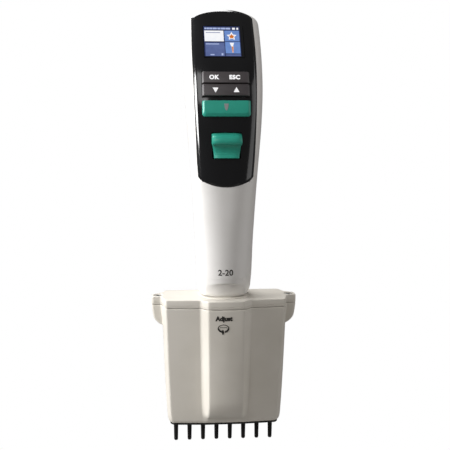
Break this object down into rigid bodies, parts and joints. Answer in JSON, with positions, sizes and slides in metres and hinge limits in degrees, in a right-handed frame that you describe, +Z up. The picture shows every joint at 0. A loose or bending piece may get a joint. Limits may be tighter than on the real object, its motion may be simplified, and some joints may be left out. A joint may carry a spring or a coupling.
{
  "type": "multichannel pipette",
  "caption": "Electronic multichannel pipette with a display, rocker keys, a trigger, a tip ejector bar and a row of tip cones on a manifold that swivels.",
  "frame": {"origin": "centre of the tip ejector plate's underside, on the axis that the manifold turns about", "axes": "+Z up along the manifold's swivel axis; +X along the row of tip cones, towards the right seen from the display side; -Y is the display side"},
  "size_m": [0.0944, 0.0666, 0.2831],
  "materials": {
    "key_grey": "satin moulded",
    "blue_wrap": "shrink film",
    "black_abs": "satin moulded",
    "zinc_steel": "zinc plated",
    "white_pom": "satin moulded",
    "grey_pps": "satin moulded",
    "lcd": "smooth",
    "clear_acrylic": "clear, polished",
    "teal": "semi-gloss",
    "black_gloss": "polished",
    "white_abs": "fine satin texture",
    "silicone": "matte",
    "board_green": "solder mask",
    "ivory_abs": "fine satin texture",
    "brass": "turned",
    "black_pvdf": "satin moulded",
    "spring_steel": "drawn wire"
  },
  "bodies": {
    "handle": {"front_shell": "white_abs", "rear_shell": "white_abs", "face_panel": "black_gloss", "display_window": "clear_acrylic", "display_module": "lcd", "main_board": "board_green", "key_mat": "silicone", "trigger_board": "board_green", "trigger_spring": "spring_steel", "battery": "blue_wrap", "motor": "zinc_steel", "motor_bracket": "black_abs", "ejector_spring": "spring_steel", "swivel_ring": "white_pom", "charging_socket": "black_abs", "rear_screw_left": "zinc_steel", "rear_screw_right": "zinc_steel"},
    "ok_esc": {"ok_esc_key": "key_grey"},
    "arrows": {"arrow_key": "key_grey"},
    "eject_button": {"ejector_bar": "teal"},
    "pusher": {"ejector_rod": "white_pom"},
    "trigger_piece": {"trigger": "teal"},
    "rotor": {"rotor_nut": "brass"},
    "screw": {"drive_screw": "zinc_steel"},
    "manifold": {"manifold_lid": "ivory_abs", "manifold_housing": "ivory_abs", "ear_screw_left": "zinc_steel", "ear_screw_right": "zinc_steel", "seal_strip": "silicone", "seal_retainer": "grey_pps", "cylinder_block": "grey_pps", "tip_cone_1": "black_pvdf", "tip_cone_2": "black_pvdf", "tip_cone_3": "black_pvdf", "tip_cone_4": "black_pvdf", "tip_cone_5": "black_pvdf", "tip_cone_6": "black_pvdf", "tip_cone_7": "black_pvdf", "tip_cone_8": "black_pvdf"},
    "piston_carrier": {"crosshead": "white_pom", "coupling_cap": "zinc_steel", "piston_1": "zinc_steel", "piston_2": "zinc_steel", "piston_3": "zinc_steel", "piston_4": "zinc_steel", "piston_5": "zinc_steel", "piston_6": "zinc_steel", "piston_7": "zinc_steel", "piston_8": "zinc_steel"},
    "stripper": {"ejector_yoke": "white_pom", "ejector_post_left": "zinc_steel", "ejector_post_right": "zinc_steel", "ejector_plate": "black_abs"}
  },
  "joints": [
    {"name": "manifold_swivel", "type": "hinge", "parent": "handle", "child": "manifold", "pos_m": [0, 0, 0.092], "axis": [0, 0, 1], "continuous": true},
    {"name": "ejector_slide", "type": "slide", "parent": "handle", "child": "eject_button", "axis": [0, -0.2136, -0.9769], "range_m": [0, 0.0065], "stiffness_N_per_m": 300, "springref_m": -0.003},
    {"name": "ejector_rod_slide", "type": "slide", "parent": "handle", "child": "pusher", "axis": [0, 0, -1], "range_m": [0, 0.0064], "deforming": ["ejector_spring"]},
    {"name": "stripper_slide", "type": "slide", "parent": "manifold", "child": "stripper", "axis": [0, 0, -1], "range_m": [0, 0.0064]},
    {"name": "trigger_press", "type": "slide", "parent": "handle", "child": "trigger_piece", "axis": [0, 0.9973, -0.0735], "range_m": [0, 0.003], "stiffness_N_per_m": 600, "springref_m": -0.001, "deforming": ["trigger_spring"]},
    {"name": "ok_esc_rock", "type": "hinge", "parent": "handle", "child": "ok_esc", "pos_m": [0, -0.0056, 0.22425], "axis": [0, 0.4079, 0.913], "range_deg": [-2.5, 2.5], "stiffness_Nm_per_rad": 0.15},
    {"name": "arrow_rock", "type": "hinge", "parent": "handle", "child": "arrows", "pos_m": [0, -0.00861, 0.21668], "axis": [0, 0.3267, 0.9451], "range_deg": [-2.5, 2.5], "stiffness_Nm_per_rad": 0.15},
    {"name": "screw_slide", "type": "slide", "parent": "handle", "child": "screw", "axis": [0, 0, 1], "range_m": [0, 0.012]},
    {"name": "rotor_spin", "type": "hinge", "parent": "handle", "child": "rotor", "pos_m": [0, 0, 0.118], "axis": [0, 0, 1], "range_deg": [0, 720.01]},
    {"name": "crosshead_slide", "type": "slide", "parent": "manifold", "child": "piston_carrier", "axis": [0, 0, 1], "range_m": [0, 0.012]}
  ],
  "couplings": [
    {"joint": "ejector_rod_slide", "follows": "ejector_slide", "ratio": 0.97693},
    {"joint": "stripper_slide", "follows": "ejector_slide", "ratio": 0.97693},
    {"joint": "rotor_spin", "follows": "screw_slide", "rad_per_m": 1047.2},
    {"joint": "crosshead_slide", "follows": "screw_slide", "ratio": 1}
  ]
}
